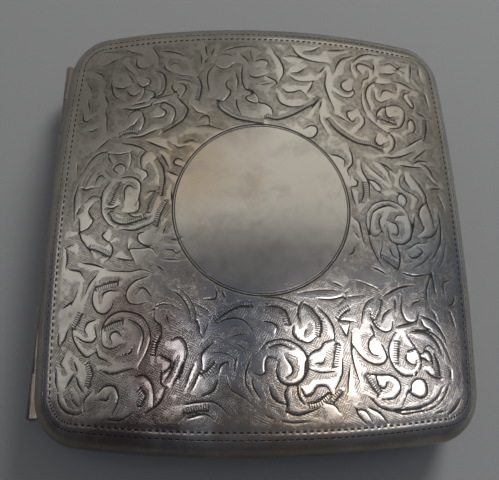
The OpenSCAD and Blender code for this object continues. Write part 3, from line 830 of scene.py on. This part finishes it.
def shell_piece(name, up, amount, count, body, replaced, material, engraved):
    """A shell: its rolled edge, its outside face and, on a coarser grid, its gilt inside."""
    def outside(xy):
        across = np.clip(1 - outline_place(xy)[0] / SOFT_ROLL_W, 0, 1)
        return seam(xy[:, 0]) + up * (RISE * np.sqrt(1 - across ** 2) + crown(xy, amount))

    def inside(xy):
        return seam(xy[:, 0]) + up * (RISE - WALL + crown(xy, amount))

    c, n = columns(count), 4 * count
    rings = shell_rings(c, up, amount)
    ids = [np.arange(n) + n * k for k in range(len(rings))]
    faces = [quad for pair in zip(ids[:-1], ids[1:]) for quad in ring_quads(*pair)]
    gilt_faces = n * (INSIDE_STEPS + 1)
    kinds = [GILT_KIND] * gilt_faces + [0] * (len(faces) - gilt_faces)
    points, outer = fill_ring(np.vstack(rings), ids[-1], count, outside)
    if engraved:
        top = np.zeros(len(points), bool)
        top[outer.ravel()] = True
        free = top.copy()
        free[ids[-1]] = False
        depth, attributes = engrave_face(points, free, outside)
        attributes["cut_edge"][~top] = NO_EDGE
        outer = split_along_cuts(outer, depth)
    else:
        rim = abs(points[:, 2] - seam(points[:, 0])) < RISE - 0.05
        attributes = {"rim_inset": np.where(rim, outline_place(points[:, :2])[0], FAR)}
    faces += outer.tolist()
    kinds += [0] * len(outer)

    outside_count = len(points)
    ring = inset_point(c, ROLL_W + INSIDE_EDGE)[::INSIDE_SHARE]
    coarse = np.arange(len(ring)) + outside_count
    points = np.vstack([points, np.column_stack([ring, inside(ring)])])
    points, inner = fill_ring(points, coarse, count // INSIDE_SHARE, inside)
    added = [face[::-1] for face in merge_quads(ids[0].tolist(), coarse.tolist()) + inner.tolist()]
    faces += added
    kinds += [GILT_KIND] * len(added)
    if up < 0:
        faces = [face[::-1] for face in faces]
    for key, value in attributes.items():
        rest = np.full(len(points) - outside_count, 0 if key == "hatch" else FAR)
        attributes[key] = np.concatenate([value, rest])
    return make_piece(name, points, faces, body, replaced, (material, gilding), kinds, attributes)


# The bezels

BASE_BEZEL_EASE, LID_BEZEL_EASE = 0.15, 0.14
# The least thickness of the base's bezel at its foot and half way up
FOOT_T, MIDDLE_T = 0.05, 0.08


def loft(sections, closed):
    """The points and faces of a bar through sections of equal count."""
    ids = np.arange(sections.shape[0] * sections.shape[1]).reshape(sections.shape[:2])
    here, there = (ids, np.roll(ids, -1, axis=0)) if closed else (ids[:-1], ids[1:])
    faces = np.stack([here, there, np.roll(there, -1, axis=1), np.roll(here, -1, axis=1)], -1)
    faces = faces.reshape(-1, 4).tolist()
    if not closed:
        faces += [ids[0].tolist(), ids[-1].tolist()]
    return sections.reshape(-1, 3), faces


def wall_columns(c, insets, levels):
    """One section for each column. insets and levels hold a row of values for each column."""
    points = np.stack([inset_point(c, inset) for inset in insets.T], 1)
    return np.concatenate([points, levels(points[..., 0])[..., None]], -1)


def eased(x, z, start, end):
    """Three points round a corner. start and end lead from it along its two sides."""
    (a, b), (c, d) = start, end
    return [(x + a, z + b), (x + EASE_SHARE * (a + c), z + EASE_SHARE * (b + d)), (x + c, z + d)]


def tiled(c, section):
    return (np.tile(values, (len(c["kind"]), 1)) for values in np.array(section).T)


def base_bezel_sections(c):
    """A strip against the wall's inside. Its top is cut down along the hinge, and it stops at the slot."""
    inner, middle, r = BEZEL_INSET + BEZEL_T, -(BEZEL_DEPTH + SEAM_GAP / 2) / 2, BASE_BEZEL_EASE
    proud = [*eased(BEZEL_INSET, BEZEL_PROUD, (0, -r), (r, 0)), *eased(inner, BEZEL_PROUD, (-r, 0), (0, -r)),
             (inner, -BEZEL_DEPTH), (min(inner_inset(BEZEL_DEPTH), inner - FOOT_T), -BEZEL_DEPTH),
             (min(inner_inset(-middle), inner - MIDDLE_T), middle),
             (inner_inset(SEAM_GAP / 2), -SEAM_GAP / 2), (BEZEL_INSET, -SEAM_GAP / 2)]
    insets, heights = tiled(c, proud)
    sections = wall_columns(c, insets, lambda x: seam(x) + heights)

    top = AXIS_Z - GROOVE_R
    levels = np.array([top] * 6 + [top - BEZEL_CUT_H] * 2 + [top - BEZEL_CUT_H / 2, top, top])
    over = seam(inset_point(c, WALL)[:, 0])
    for k in range(6):
        insets[:, k] = BEZEL_INSET + BEZEL_T * k / 5
    for k, left in ((7, FOOT_T), (8, MIDDLE_T), (9, 0.0)):
        insets[:, k] = np.minimum(inner_inset(over - levels[k]), inner - left)
    insets[:, 10] = (insets[:, 9] + insets[:, 0]) / 2
    cut = wall_columns(c, insets, lambda x: levels + 0 * x)
    sections = np.where((c["kind"] == AT_HINGE)[:, None, None], cut, sections)
    slot = np.flatnonzero(c["kind"] == AT_SLOT)
    return np.roll(sections, -slot[-1] - 1, axis=0)[:len(sections) - len(slot)]


def lid_bezel_sections(c):
    low, high, r = LID_BEZEL_LOW, LID_BEZEL_LOW + LID_BEZEL_H, LID_BEZEL_EASE
    at_low, at_high = inner_inset(low), inner_inset(high)
    insets, heights = tiled(c, [(at_low, low), (at_high, high),
                                *eased(at_high + LID_BEZEL_T, high, (-r, 0), (0, -r)),
                                *eased(at_low + LID_BEZEL_T, low, (0, r), (-r, 0))])
    return wall_columns(c, insets, lambda x: seam(x) + heights)


# The knuckles of the hinge

TUBE_POINTS, TUBE_EASE, FILLET_START, FILLET_RUN = 96, 0.09, 0.4, 0.15


def knuckle_sections(place, up):
    """The tube's section at each turn about the axis, with its fillet of solder and eased ends."""
    length = (HINGE_LEN - (KNUCKLES - 1) * KNUCKLE_GAP) / KNUCKLES
    start = -HINGE_LEN / 2 + place * (length + KNUCKLE_GAP)
    turn = np.linspace(0, 2 * math.pi, TUBE_POINTS, endpoint=False)[:, None]
    x, z = np.cos(turn), np.sin(turn)
    toward = np.minimum(x, up * z) * GROOVE_R
    outer = KNUCKLE_R + GROOVE_CLEARANCE * np.clip((toward - FILLET_START) / FILLET_RUN, 0, 1)
    ease, soft = TUBE_EASE, EASE_SHARE * TUBE_EASE
    drop = np.array([ease, soft, 0, 0, soft, ease])
    bore = np.full((TUBE_POINTS, 1), BORE_R)
    r = np.concatenate([bore, outer - drop, bore], axis=1)
    y = start + np.array([0, 0, soft, ease, length - ease, length - soft, length, length])
    return np.stack([AXIS_X + r * x, y + 0 * r, AXIS_Z + r * z], -1)


# The thumb piece

ARC_POINTS, EASE_STEPS = 49, 7


def right_side_point(y, inset):
    """A point inside the right side's outline. y is where the outline itself is."""
    base, normal = side_run(1, y / (CORNER_Y + 2 * CORNER_R * SIDE_BOW / CORNER_Y))
    return base + (CORNER_R - inset) * normal


def thumb_sections():
    """Level sections of the crescent, drawn in the leaf spring's frame as the part's source does."""
    leaf_start = STRAP_W / 2 + CLIP_MARGIN + FOOT_GAP + FOOT_LEN
    leaf_inset = BEZEL_INSET + BEZEL_T + LEAF_GAP
    low, high = right_side_point(leaf_start, leaf_inset), right_side_point(PUSH_Y + PUSH_LEN / 2, leaf_inset)
    along = unit(high - low)
    out = np.array([along[1], -along[0]])
    outline = right_side_point(PUSH_Y, 0)
    middle = np.array([(outline - low) @ out, (outline - low) @ along])
    bulge_r = (PUSH_LEN ** 2 / 4 + PUSH_OUT ** 2) / (2 * PUSH_OUT)
    floor_z = seam(outline[0]) - PUSH_DROP - PUSH_H
    quarter = np.linspace(0, math.pi / 2, EASE_STEPS)
    eases, heights = PUSH_EASE * (1 - np.sin(quarter)), PUSH_EASE * (1 - np.cos(quarter))
    sections = []
    for ease, height in zip([*eases, *eases[::-1]], [*heights, *(PUSH_H - heights[::-1])]):
        y = np.linspace(-1, 1, ARC_POINTS) * (PUSH_LEN - ease) / 2
        x = middle[0] + PUSH_OUT - bulge_r + np.sqrt((bulge_r - ease) ** 2 - y ** 2)
        x, y = np.concatenate([[0], x, [0]]), np.concatenate([y[:1], y, y[-1:]]) + middle[1]
        plan = low + x[:, None] * out + y[:, None] * along
        sections.append(np.column_stack([plan, np.full(len(plan), floor_z + height)]))
    return np.array(sections)


# The strap

RIBS, RIB_STEPS, RIB_DEPTH, STRAP_SECTIONS = 12, 4, 0.08, 389
# How far the strap's two faces stay inside the solid's, and the height and pitch of its ruche
TOP_MARGIN, UNDER_MARGIN, RUCHE_H, RUCHE_PITCH = 0.02, 0.04, 0.02, 0.8


def strap_sections():
    """Sections across the strap from clip to clip, ribbed above and a little ruched."""
    clip_x, clip_z = HALF_W - BEZEL_INSET - BEZEL_T, AXIS_Z - CLIP_DROP
    reach, touch = clip_x - CLIP_DEPTH - STRAP_LEAD, HALF_W - ROLL_W - STRAP_LIFT
    end = clip_x - CLIP_DEPTH / 2
    over = np.linspace(-touch, touch, 25)
    knots_x = np.concatenate([[-end, -reach], over, [reach, end]])
    over_z = seam(over) - (RISE - WALL) + STRAP_CLEARANCE + STRAP_T / 2
    knots_z = np.concatenate([[clip_z] * 2, over_z, [clip_z] * 2])
    x = np.linspace(-end, end, STRAP_SECTIONS)
    z = np.convolve(np.interp(x, knots_x, knots_z), np.full(5, 0.2), "same")
    z[:2], z[-2:] = clip_z, clip_z
    y = np.linspace(-1, 1, RIBS * RIB_STEPS + 1)
    back = y[::-RIB_STEPS]
    ribs = STRAP_T / 2 - TOP_MARGIN - RIB_DEPTH * (1 - abs(np.sin(RIBS * math.pi * (y + 1) / 2)))
    ribs = np.where(abs(y) == 1, 0.4 * ribs, ribs)
    across = np.concatenate([y, back]) * STRAP_W / 2
    up = np.concatenate([ribs, np.where(abs(back) == 1, -0.1, -STRAP_T / 2 + UNDER_MARGIN)])
    ruche = np.concatenate([np.full(len(y), RUCHE_H), 0 * back])
    ruche = ruche * np.sin(2 * math.pi * x / RUCHE_PITCH)[:, None]
    points = np.broadcast_arrays(x[:, None], across[None], z[:, None] + up[None] + ruche)
    length = np.hypot(np.diff(x), np.diff(z)).sum()
    return np.stack(points, -1), length


# Materials

class Nodes:
    """A material's nodes, with short calls that add and link them. Lengths in it are millimetres."""

    def __init__(self, name):
        self.material = bpy.data.materials.new(name)
        self.material.use_nodes = True
        self.tree = self.material.node_tree
        self.shader = self.tree.nodes["Principled BSDF"]
        self.place = self.scaled(self.add("TexCoord").outputs["Object"], (1 / MM, 1 / MM, 1 / MM))

    def add(self, kind, inputs=None, **settings):
        made = self.tree.nodes.new("ShaderNode" + kind)
        for key, value in settings.items():
            setattr(made, key, value)
        for key, value in (inputs or {}).items():
            self.put(made.inputs[key], value)
        return made

    def put(self, socket, value):
        if isinstance(value, bpy.types.NodeSocket):
            self.tree.links.new(value, socket)
        else:
            socket.default_value = (*value, 1) if socket.type == "RGBA" else value

    def math(self, operation, *values):
        return self.add("Math", dict(enumerate(values)), operation=operation).outputs[0]

    def times(self, a, b):
        return self.math("MULTIPLY", a, b)

    def line(self, value, slope, start):
        return self.math("MULTIPLY_ADD", value, slope, start)

    def total(self, first, *others):
        for other in others:
            first = self.math("ADD", first, other)
        return first

    def most(self, first, *others):
        for other in others:
            first = self.math("MAXIMUM", first, other)
        return first

    def beside(self, value, middle):
        return self.math("ABSOLUTE", self.math("SUBTRACT", value, middle))

    def step(self, low, high, value):
        """A smooth step from 0 at low to 1 at high."""
        settings = {"Value": value, "From Min": low, "From Max": high}
        return self.add("MapRange", settings, interpolation_type="SMOOTHSTEP").outputs[0]

    def attribute(self, name):
        return self.add("Attribute", attribute_name=name).outputs["Fac"]

    def scaled(self, vector, factors):
        return self.add("VectorMath", {0: vector, 1: factors}, operation="MULTIPLY").outputs[0]

    def from_upright(self, x, y):
        """How far each place is from an upright line."""
        flat = self.scaled(self.place, (1, 1, 0))
        return self.add("VectorMath", {0: flat, 1: (x, y, 0)}, operation="DISTANCE").outputs["Value"]

    def turned(self, angle):
        inputs = {"Vector": self.place, "Angle": angle}
        return self.add("VectorRotate", inputs, rotation_type="Z_AXIS").outputs[0]

    def noise(self, size, detail=3.0, stretch=(1, 1, 1), distortion=0.0):
        """Noise with forms of about this size."""
        place = self.scaled(self.place, tuple(s / size for s in stretch))
        inputs = {"Vector": place, "Scale": 1.0, "Detail": detail, "Roughness": 0.55}
        return self.add("TexNoise", inputs | {"Distortion": distortion}).outputs["Fac"]

    def mix(self, share, a, b):
        return self.add("Mix", {0: share, 6: a, 7: b}, data_type="RGBA").outputs[2]

    def bump(self, height):
        """A bump of a height in millimetres."""
        made = self.add("Bump", {"Height": height, "Distance": MM})
        self.put(self.shader.inputs["Normal"], made.outputs[0])

    def finish(self, color, roughness, metallic=1.0):
        for key, value in (("Base Color", color), ("Roughness", roughness), ("Metallic", metallic)):
            self.put(self.shader.inputs[key], value)
        return self.material


SILVER, SILVER_WARM, SILVER_COOL = (0.71, 0.68, 0.62), (0.56, 0.45, 0.32), (0.50, 0.57, 0.63)
SILVER_PLUM, SILVER_DIM, GROUND_SHARE = (0.42, 0.33, 0.30), (0.42, 0.39, 0.37), (0.44, 0.4, 0.355)
# Next: tarnish in the cuts, the rolled edge's darkening (partly tarnish, partly painted shade) and a dark brown
# painted shade.
TARNISH, EDGE_TARNISH_AND_SHADE, BROWN_SHADE = (0.03, 0.025, 0.022), (0.18, 0.152, 0.12), (0.13, 0.095, 0.08)
GILT, GILT_DEEP = (0.86, 0.62, 0.27), (0.62, 0.40, 0.15)
# The weave's colours. The last is painted shade, laid in the grooves between the ribs.
WEAVE, WEAVE_PALE, WEAVE_GROOVE_SHADE = (0.055, 0.036, 0.026), (0.12, 0.085, 0.06), (0.015, 0.01, 0.008)
STEEL, STEEL_DARK, PAPER = (0.46, 0.45, 0.44), (0.34, 0.33, 0.33), (0.4, 0.41, 0.42)
# Patches of colour: the middle of each in millimetres, its reach, its share and its colour. The warm ones in
# the middle and at the upper right are tarnish stains. The dark brown one at the lower left is painted shade,
# and the plum, cool and dim ones and the warm one at the lower edge are partly tarnish and partly painted
# shade, darkening the lower left, the lower edge, the face below and right of the ring and the upper left.
TINT_AND_SHADE_PATCHES = ((-18, -21, 17, 0.9, SILVER_PLUM), (-5, -22, 15, 0.75, SILVER_COOL), (31, -7, 17, 0.6, SILVER_COOL),
         (-12, 8, 17, 0.7, SILVER_WARM), (-33, 27, 20, 0.5, SILVER_DIM), (6, -38, 22, 0.8, SILVER_WARM),
         (24, 24, 18, 0.4, SILVER_WARM), (-25, -38, 29, 0.9, BROWN_SHADE))


def worn_silver(m, rim):
    """The colour and roughness of handled silver, with patches of tarnish and of painted shade. rim darkens the
    rolled edge, partly as tarnish and partly as painted shade; without it the whole piece is darkened at a
    share of 0.7.
    """
    color = SILVER
    # Each patch fades out past its reach: tarnish, and painted shade where it darkens the face.
    for x, y, reach, share, patch_color in TINT_AND_SHADE_PATCHES:
        away = m.line(m.noise(9, 5, distortion=0.6), 1.6 * reach, m.from_upright(x, y))
        color = m.mix(m.times(m.step(1.7 * reach, 0.8 * reach, away), share), color, patch_color)
    color = m.mix(m.times(m.step(0.48, 0.7, m.noise(5, 4, distortion=0.5)), 0.35), color, SILVER_DIM)
    # The rolled edge darkens towards the outline, partly as tarnish and partly as painted shade; a piece
    # without a rim is darkened all over.
    edge = m.times(m.step(4.4, 1.6, m.attribute("rim_inset")) if rim else 0.7, m.line(m.noise(6), 0.7, 0.5))
    color = m.mix(m.math("MINIMUM", edge, 0.9), color, EDGE_TARNISH_AND_SHADE)
    return color, m.line(edge, 0.14, m.line(m.noise(3, 4), 0.12, 0.14))


def scratches(m):
    """Fine scratches in three directions."""
    lines = []
    for angle, size in ((0.3, 0.9), (1.25, 1.4), (2.3, 1.1)):
        place = m.scaled(m.turned(angle), (0.12 / size, 9 / size, 3))
        line = m.add("TexNoise", {"Vector": place, "Scale": 1.0, "Detail": 2.0}).outputs["Fac"]
        lines.append(m.step(0.64, 0.72, line))
    return m.total(*lines)


def engraved_silver():
    """The lid's silver. lines has what is cut in, and dark has where tarnish lies in it."""
    m = Nodes("engraved_silver")
    color, roughness = worn_silver(m, True)
    edge, inset, along = m.attribute("cut_edge"), m.attribute("rim_inset"), m.attribute("rim_along")
    worked = m.times(m.step(5.2, 6.2, inset), m.attribute("worked"))
    beat = m.math("PINGPONG", m.attribute("hatch_phase"), 0.19)
    ticks = m.times(m.times(m.step(0.11, 0.04, beat), m.step(0.1, 0.3, m.attribute("hatch"))), 0.8)
    lines, dark = [m.step(0.05, -0.05, edge), ticks], [m.step(0.035, -0.05, edge), ticks]
    patchy = m.line(m.noise(1.2, 4), 1.2, -0.6)
    ground = m.times(m.step(0.3, 0.75, m.total(m.attribute("ground"), patchy)), worked)
    for angle, low, high in ((0.5, 0.46, 0.52), (2.0, 0.54, 0.48)):
        across = m.line(m.noise(2, 1), 0.5, m.add("SeparateXYZ", {0: m.turned(angle)}).outputs["X"])
        strokes = m.times(m.step(0.1, 0.04, m.math("PINGPONG", across, 0.18)), ground)
        strokes = m.times(strokes, m.step(low, high, m.noise(1.4, 1)))
        lines.append(m.times(strokes, 0.13))
        dark.append(m.times(strokes, 0.4))
    from_middle = m.from_upright(*RING_MIDDLE)
    marks = [m.step(half_w + 0.05, half_w - 0.03, m.beside(from_middle, RING_R + offset))
             for offset, half_w in RING_LINES]
    beat = m.math("PINGPONG", along, DASH_PITCH / 2)
    for row, half_w, length in DASH_ROWS:
        end = DASH_PITCH / 2 - length / 2
        across = m.step(half_w, 0.6 * half_w, m.beside(inset, row))
        marks.append(m.times(across, m.step(end - 0.05, end + 0.05, beat)))
    lines, dark = m.most(*lines, *marks), m.most(*dark, *marks)
    mottle = m.line(m.step(0.38, 0.62, m.noise(0.7, 3)), 0.5, 0.12)
    color = m.mix(m.times(ground, mottle), color, m.scaled(color, GROUND_SHARE))
    dark = m.times(dark, m.line(m.noise(2.5), 0.4, 0.78))
    color = m.mix(m.math("MINIMUM", dark, 0.92), color, TARNISH)
    swell = m.times(m.step(0.0, 0.3, edge), 0.01)
    dents = m.times(m.noise(6, 2), m.line(worked, 0.06, 0.03))
    m.bump(m.total(swell, dents, m.times(lines, -0.05), m.times(ground, -0.004),
                   m.times(scratches(m), -0.0012)))
    return m.finish(color, m.line(dark, 0.16, m.line(ground, 0.05, roughness)))


def plain_silver(name, rim):
    m = Nodes(name)
    m.bump(m.total(m.times(m.noise(7, 2), 0.06), m.times(scratches(m), -0.0012)))
    return m.finish(*worn_silver(m, rim))


def gilt():
    m = Nodes("gilt")
    m.bump(m.times(scratches(m), -0.001))
    color = m.mix(m.times(m.step(0.3, 0.8, m.noise(9, 5)), 0.8), GILT, GILT_DEEP)
    return m.finish(color, m.line(m.noise(2.5, 4), 0.2, 0.22))


def spring_steel():
    m = Nodes("spring_steel")
    grain = m.noise(0.5, 3, (1, 0.03, 1))
    m.bump(m.times(grain, 0.004))
    return m.finish(m.mix(grain, STEEL, STEEL_DARK), m.line(grain, 0.2, 0.25))


def elastic_weave():
    m = Nodes("elastic_weave")
    across = m.total(m.add("SeparateXYZ", {0: m.place}).outputs["Y"], STRAP_W / 2)
    # Painted shade in the grooves between the ribs.
    groove_shade = m.step(0.16, 0.0, m.math("PINGPONG", across, STRAP_W / (2 * RIBS)))
    color = m.mix(m.noise(0.5, 4), WEAVE, WEAVE_PALE)
    m.bump(m.times(m.noise(0.25, 2, (3, 1, 1)), 0.04))
    return m.finish(m.mix(m.times(groove_shade, 0.7), color, WEAVE_GROOVE_SHADE), 0.85, 0.0)


engraved, gilding, steel, elastic = engraved_silver(), gilt(), spring_steel(), elastic_weave()
rimmed, plain = plain_silver("shell_silver", True), plain_silver("plain_silver", False)


# The pieces

def bar_piece(name, sections, body, replaced, material, around=False):
    points, faces = loft(sections, around)
    return make_piece(name, points, faces, body, replaced, (material,))


shell_piece("lid_cover", 1, LID_CROWN, LID_COLUMNS, "lid", "lid_shell", engraved, True)
shell_piece("base_cover", -1, 0, BASE_COLUMNS, "base", "base_shell", rimmed, False)
bezel_columns = columns(BASE_COLUMNS)
bar_piece("base_bezel_rim", base_bezel_sections(bezel_columns), "base", "base_bezel", gilding)
bar_piece("lid_bezel_rim", lid_bezel_sections(bezel_columns), "lid", "lid_bezel", gilding,
          True)
for place in range(KNUCKLES):
    part, up = ("lid", 1) if place % 2 else ("base", -1)
    number = place // 2 + 1
    bar_piece(f"{part}_tube_{number}", knuckle_sections(place, up), part,
              f"{part}_knuckle_{number}", plain, True)
bar_piece("thumb_button", thumb_sections(), "catch", "push_piece", plain)
strap_shape, strap_length = strap_sections()
strap = bar_piece("ribbed_strap", strap_shape, "base", "base_strap", elastic)

# CAD pieces that show as they are get their own materials
FINISHES = {"silver": plain, "silver_gilt": gilding, "spring_metal": steel, "elastic": elastic}
for subpart in frame["record"]["subparts"]:
    node = frame["nodes"][subpart["node"]]
    node.data.materials.clear()
    node.data.materials.append(FINISHES[subpart["material_slot"]])


# Camera, floor and light

def aim(obj, place, view, up):
    view, up = Vector(view).normalized(), Vector(up)
    right = view.cross(up).normalized()
    turn = Matrix((right, right.cross(view), -view)).transposed().to_4x4()
    obj.matrix_world = Matrix.Translation(Vector(place) * MM) @ turn


camera_data = bpy.data.cameras.new("camera")
camera_data.sensor_width, camera_data.lens = 36, 27.93
camera_data.clip_start, camera_data.clip_end = 0.002, 20
camera = show("camera", camera_data)
aim(camera, (-5.07, -20.48, 80.68), (0.0428, 0.229, -0.9725), (-0.0064, 0.9734, 0.2289))
bpy.context.scene.camera = camera

FLOOR_HALF = 1.5
floor_mesh = bpy.data.meshes.new("floor")
corners = [(x * FLOOR_HALF, y * FLOOR_HALF, 0) for x, y in ((-1, -1), (1, -1), (1, 1), (-1, 1))]
floor_mesh.from_pydata(corners, [], [(0, 1, 2, 3)])
floor = show("floor", floor_mesh)
paper = Nodes("floor_paper")
paper.bump(paper.times(paper.noise(0.6, 3), 0.02))
floor_mesh.materials.append(paper.finish(PAPER, 0.8, 0.0))


def area_light(name, place, size, power, color, glossy=True, diffuse=True):
    """A rectangular lamp with level long edges, turned to face the case. Places and sizes in metres."""
    data = bpy.data.lights.new(name, "AREA")
    data.shape, data.size, data.size_y = "RECTANGLE", size[0], size[1]
    data.energy, data.color = power, color
    lamp = show(name, data)
    aim(lamp, Vector(place) / MM, (0, -place[1], -place[2]), (0, 1, 0))
    lamp.visible_glossy, lamp.visible_diffuse = glossy, diffuse


area_light("back_softbox", (0.42, 0.5, 1.15), (2.2, 0.4), 1.15, (1, 0.96, 0.88))
area_light("left_softbox", (-1.0, 0.08, 1.0), (0.8, 0.7), 0.9, (1, 0.97, 0.9), diffuse=False)
area_light("top_panel", (0.66, 0.86, 1.0), (1.1, 0.4), 0.62, (1, 0.98, 0.93))
area_light("key", (0.33, 0.68, 0.33), (0.25, 0.25), 5.6, (1, 0.98, 0.95), glossy=False)
area_light("right_strip", (0.64, -0.175, 1.0), (0.86, 0.2), 2.05, (0.98, 0.95, 1), diffuse=False)
area_light("left_strip", (-0.34, -0.19, 1.0), (0.2, 0.13), 0.34, (0.98, 0.95, 1), diffuse=False)
# A faint room, cooler and darker towards the case's lower edge
world = bpy.data.worlds.new("world")
bpy.context.scene.world = world
world.use_nodes = True
world_nodes = world.node_tree
sky = world_nodes.nodes.new("ShaderNodeTexCoord").outputs["Generated"]
parts = world_nodes.nodes.new("ShaderNodeSeparateXYZ")
ramp = world_nodes.nodes.new("ShaderNodeValToRGB")
for link in ((sky, parts.inputs[0]), (parts.outputs["Y"], ramp.inputs[0]),
             (ramp.outputs[0], world_nodes.nodes["Background"].inputs["Color"])):
    world_nodes.links.new(*link)
SKY = ((0.08, (0.075, 0.08, 0.1, 1)), (0.45, (0.19, 0.185, 0.17, 1)))
for stop, (position, color) in zip(ramp.color_ramp.elements, SKY):
    stop.position, stop.color = position, color
bpy.context.scene.view_settings.view_transform = "Standard"
